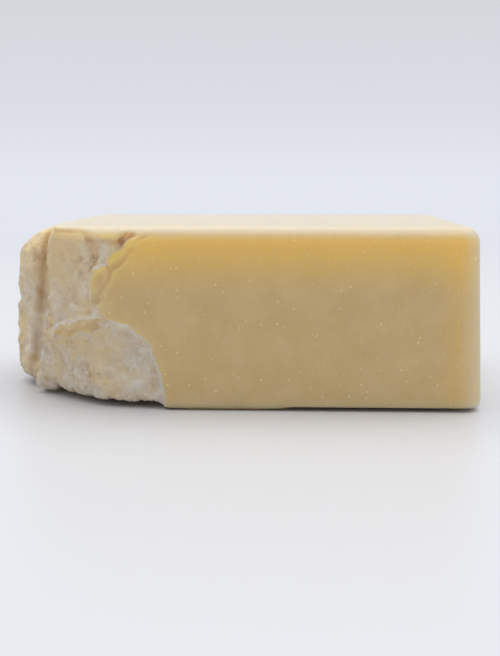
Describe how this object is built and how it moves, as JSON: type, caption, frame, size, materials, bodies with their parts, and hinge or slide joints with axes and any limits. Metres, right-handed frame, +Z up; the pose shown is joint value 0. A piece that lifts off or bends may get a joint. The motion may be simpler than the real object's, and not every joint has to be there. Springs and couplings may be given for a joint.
{
  "type": "bar of soap",
  "caption": "Rectangular block of raw pale-yellow soap with softly rounded edges, one sound end and one end broken off into hollow, crumbly facets. Lies flat.",
  "frame": {"origin": "centre of the bar's overall length and depth, at the surface that it lies on", "axes": "+Z up, +X along the bar from the broken end to the sound end, -Y out of the front face, where the break shows most"},
  "size_m": [0.0829, 0.054, 0.03],
  "materials": {
    "soap": "waxy, slightly translucent, satin on the cut faces and matt and chalky on the break"
  },
  "bodies": {
    "root": {"soap_bar": "soap"}
  },
  "joints": []
}
